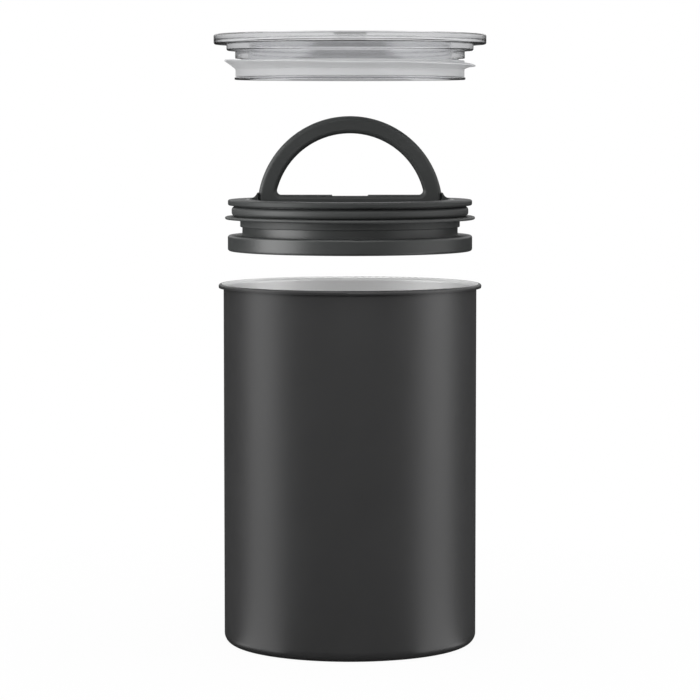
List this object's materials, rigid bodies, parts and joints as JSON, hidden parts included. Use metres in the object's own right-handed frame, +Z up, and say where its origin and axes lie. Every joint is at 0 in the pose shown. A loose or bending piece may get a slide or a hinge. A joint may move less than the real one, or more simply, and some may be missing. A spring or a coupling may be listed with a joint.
{
  "type": "vacuum seal canister",
  "caption": "Round painted steel food canister with a flared rim, an inner lid that presses down to drive out the air, a folding loop handle over a valve, and a clear outer lid.",
  "frame": {"origin": "middle of the canister's flat bottom, on the surface that it stands on", "axes": "+Z up along the axis of the pot and both lids, +X along the handle's hinge axis, -Y towards the front"},
  "size_m": [0.1292, 0.1292, 0.2906],
  "materials": {
    "painted_steel": "matte charcoal paint outside, bare brushed steel inside",
    "clear_plastic": "clear, glossy",
    "milky_silicone": "translucent white silicone",
    "satin_plastic": "satin dark grey",
    "black_plastic": "fine matte texture",
    "black_rubber": "matte silicone rubber",
    "valve_plastic": "smooth moulded",
    "bare_steel": "plain stainless"
  },
  "bodies": {
    "canister": {"canister_body": "painted_steel"},
    "lid": {"lid_disc": "clear_plastic", "lid_gasket": "milky_silicone"},
    "plunger": {"plunger_base": "satin_plastic", "plunger_gasket": "black_rubber", "plunger_cover": "black_plastic", "hinge_cap_right": "black_plastic", "hinge_cap_left": "black_plastic", "plunger_screws": "bare_steel", "hinge_screws": "bare_steel", "valve_spring": "bare_steel"},
    "handle": {"handle": "black_plastic"},
    "valve": {"valve_stem": "valve_plastic", "valve_button": "valve_plastic", "valve_seal": "black_rubber"}
  },
  "joints": [
    {"name": "lid_lift", "type": "slide", "parent": "canister", "child": "lid", "axis": [0, 0, 1], "range_m": [-0.1132, 0]},
    {"name": "plunger_press", "type": "slide", "parent": "lid", "child": "plunger", "axis": [0, 0, 1], "range_m": [-0.0725, 0.034]},
    {"name": "handle_fold", "type": "hinge", "parent": "plunger", "child": "handle", "pos_m": [0, 0, 0.2079], "axis": [1, 0, 0], "range_deg": [0, 90]},
    {"name": "valve_lift", "type": "slide", "parent": "plunger", "child": "valve", "axis": [0, 0, 1], "range_m": [0, 0.002], "deforming": ["valve_spring"]}
  ],
  "couplings": [
    {"joint": "valve_lift", "follows": "handle_fold", "m_per_rad": 0.001273}
  ]
}
